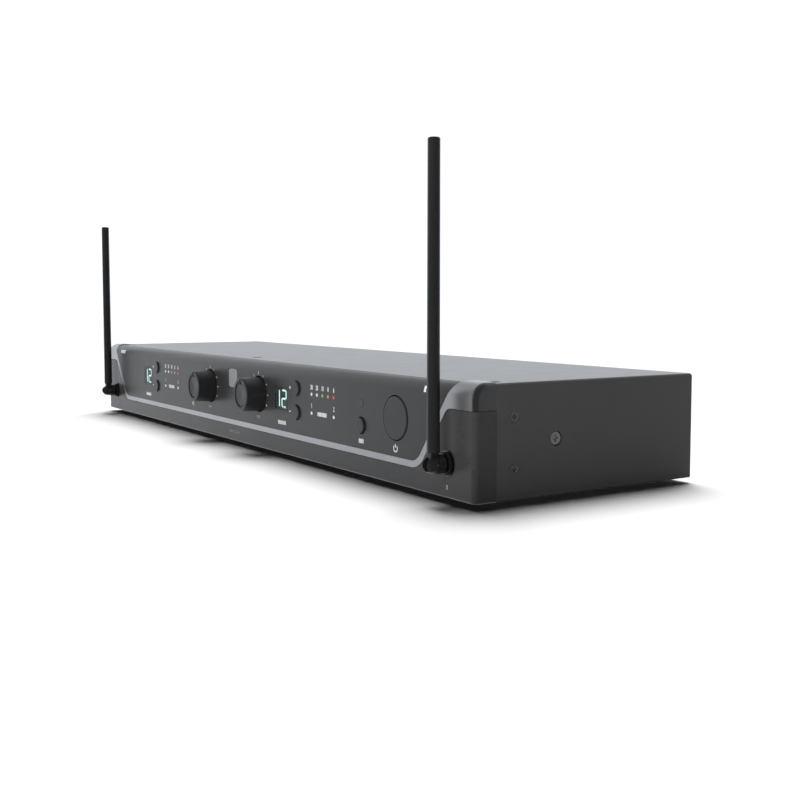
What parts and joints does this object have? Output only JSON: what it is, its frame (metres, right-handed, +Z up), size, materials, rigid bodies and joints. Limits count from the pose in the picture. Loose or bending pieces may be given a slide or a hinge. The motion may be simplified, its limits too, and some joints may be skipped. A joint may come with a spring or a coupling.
{
  "type": "wireless microphone receiver",
  "caption": "One-unit-high two-channel wireless microphone receiver: steel case, plastic front with displays, keys, volume knobs, and hinged front aerials.",
  "frame": {"origin": "centre of the object's footprint, on the surface that its feet stand on", "axes": "+X from the left end to the right end as the user faces the front, +Y from the front to the rear, +Z up"},
  "size_m": [0.427, 0.1266, 0.1362],
  "materials": {
    "case_paint": "satin",
    "inner_steel": "plain",
    "bezel_plastic": "fine grain",
    "panel_plastic": "fine grain",
    "trim_silver": "metallic satin",
    "badge_silver": "satin",
    "rubber_black": "matte",
    "screw_black": "blackened",
    "screw_bright": "bright",
    "display_black": "matte",
    "display_glow": "lit",
    "display_lens": "smoked",
    "lamp_white": "lit",
    "lamp_green": "lit",
    "lamp_amber": "lit",
    "lamp_red": "lit",
    "sensor_red": "dark",
    "key_plastic": "satin",
    "knob_black": "satin",
    "board_green": "lacquer",
    "part_steel": "tinned",
    "heatsink_black": "anodised",
    "component_plastic": "moulded",
    "ribbon_grey": "soft",
    "connector_nickel": "nickel",
    "bushing_black": "matte",
    "aerial_black": "satin",
    "socket_black": "satin"
  },
  "bodies": {
    "case": {"accent_trim": "trim_silver", "aerial_bushings": "bushing_black", "aerial_connectors": "connector_nickel", "aerial_lamps": "lamp_white", "aerial_leads": "part_steel", "aerial_lock_nuts": "connector_nickel", "aerial_washers": "connector_nickel", "badge": "badge_silver", "board_posts": "part_steel", "board_screws": "screw_bright", "capacitors": "component_plastic", "chassis_pan": "case_paint", "control_panel": "panel_plastic", "display_digits": "display_glow", "display_lenses": "display_lens", "display_modules": "display_black", "floor_screws": "screw_black", "front_bezel": "bezel_plastic", "front_board": "board_green", "front_rail": "inner_steel", "jack_nut": "connector_nickel", "key_switches": "component_plastic", "main_board": "board_green", "meter_lamps_amber": "lamp_amber", "meter_lamps_green": "lamp_green", "meter_lamps_red": "lamp_red", "meter_lamps_white": "lamp_white", "mix_jack": "socket_black", "output_pins": "connector_nickel", "output_sockets": "socket_black", "rack_screws": "screw_bright", "rear_screws": "screw_black", "regulator_heatsink": "heatsink_black", "ribbon_cable": "ribbon_grey", "rubber_feet": "rubber_black", "sensor": "sensor_red", "sensor_window": "sensor_red", "side_brackets": "inner_steel", "side_screws": "screw_black", "supply_inlet": "socket_black", "top_cover": "case_paint", "top_screws": "screw_black", "tuner_modules": "part_steel", "volume_pots": "part_steel"},
    "volume_left": {"volume_knob_left": "knob_black", "volume_shaft_left": "part_steel"},
    "volume_right": {"volume_knob_right": "knob_black", "volume_shaft_right": "part_steel"},
    "key_up_left": {"channel_up_left": "key_plastic"},
    "key_down_left": {"channel_down_left": "key_plastic"},
    "key_up_right": {"channel_up_right": "key_plastic"},
    "key_down_right": {"channel_down_right": "key_plastic"},
    "key_sync": {"sync_button": "key_plastic"},
    "key_power": {"power_button": "key_plastic"},
    "aerial_base_left": {"aerial_elbow_left": "aerial_black", "hinge_pin_left": "part_steel"},
    "aerial_base_right": {"aerial_elbow_right": "aerial_black", "hinge_pin_right": "part_steel"},
    "aerial_whip_left": {"aerial_mast_left": "aerial_black"},
    "aerial_whip_right": {"aerial_mast_right": "aerial_black"}
  },
  "joints": [
    {"name": "volume_turn_left", "type": "hinge", "parent": "case", "child": "volume_left", "pos_m": [-0.0314, -0.0529, 0.0298], "axis": [0, 1, 0], "range_deg": [-150, 150]},
    {"name": "volume_turn_right", "type": "hinge", "parent": "case", "child": "volume_right", "pos_m": [0.0314, -0.0529, 0.0298], "axis": [0, 1, 0], "range_deg": [-150, 150]},
    {"name": "press_up_left", "type": "slide", "parent": "case", "child": "key_up_left", "axis": [0, 1, 0], "range_m": [0, 0.0006], "stiffness_N_per_m": 800, "springref_m": -0.0008},
    {"name": "press_down_left", "type": "slide", "parent": "case", "child": "key_down_left", "axis": [0, 1, 0], "range_m": [0, 0.0006], "stiffness_N_per_m": 800, "springref_m": -0.0008},
    {"name": "press_up_right", "type": "slide", "parent": "case", "child": "key_up_right", "axis": [0, 1, 0], "range_m": [0, 0.0006], "stiffness_N_per_m": 800, "springref_m": -0.0008},
    {"name": "press_down_right", "type": "slide", "parent": "case", "child": "key_down_right", "axis": [0, 1, 0], "range_m": [0, 0.0006], "stiffness_N_per_m": 800, "springref_m": -0.0008},
    {"name": "press_sync", "type": "slide", "parent": "case", "child": "key_sync", "axis": [0, 1, 0], "range_m": [0, 0.0006], "stiffness_N_per_m": 800, "springref_m": -0.0008},
    {"name": "press_power", "type": "slide", "parent": "case", "child": "key_power", "axis": [0, 1, 0], "range_m": [0, 0.0006], "stiffness_N_per_m": 800, "springref_m": -0.0008},
    {"name": "aerial_turn_left", "type": "hinge", "parent": "case", "child": "aerial_base_left", "pos_m": [-0.1964, -0.0592, 0.0157], "axis": [0, 1, 0], "range_deg": [-90, 90]},
    {"name": "aerial_tilt_left", "type": "hinge", "parent": "aerial_base_left", "child": "aerial_whip_left", "pos_m": [-0.1964, -0.0592, 0.0157], "axis": [1, 0, 0], "range_deg": [0, 90]},
    {"name": "aerial_turn_right", "type": "hinge", "parent": "case", "child": "aerial_base_right", "pos_m": [0.1964, -0.0592, 0.0157], "axis": [0, 1, 0], "range_deg": [-90, 90]},
    {"name": "aerial_tilt_right", "type": "hinge", "parent": "aerial_base_right", "child": "aerial_whip_right", "pos_m": [0.1964, -0.0592, 0.0157], "axis": [1, 0, 0], "range_deg": [0, 90]}
  ]
}
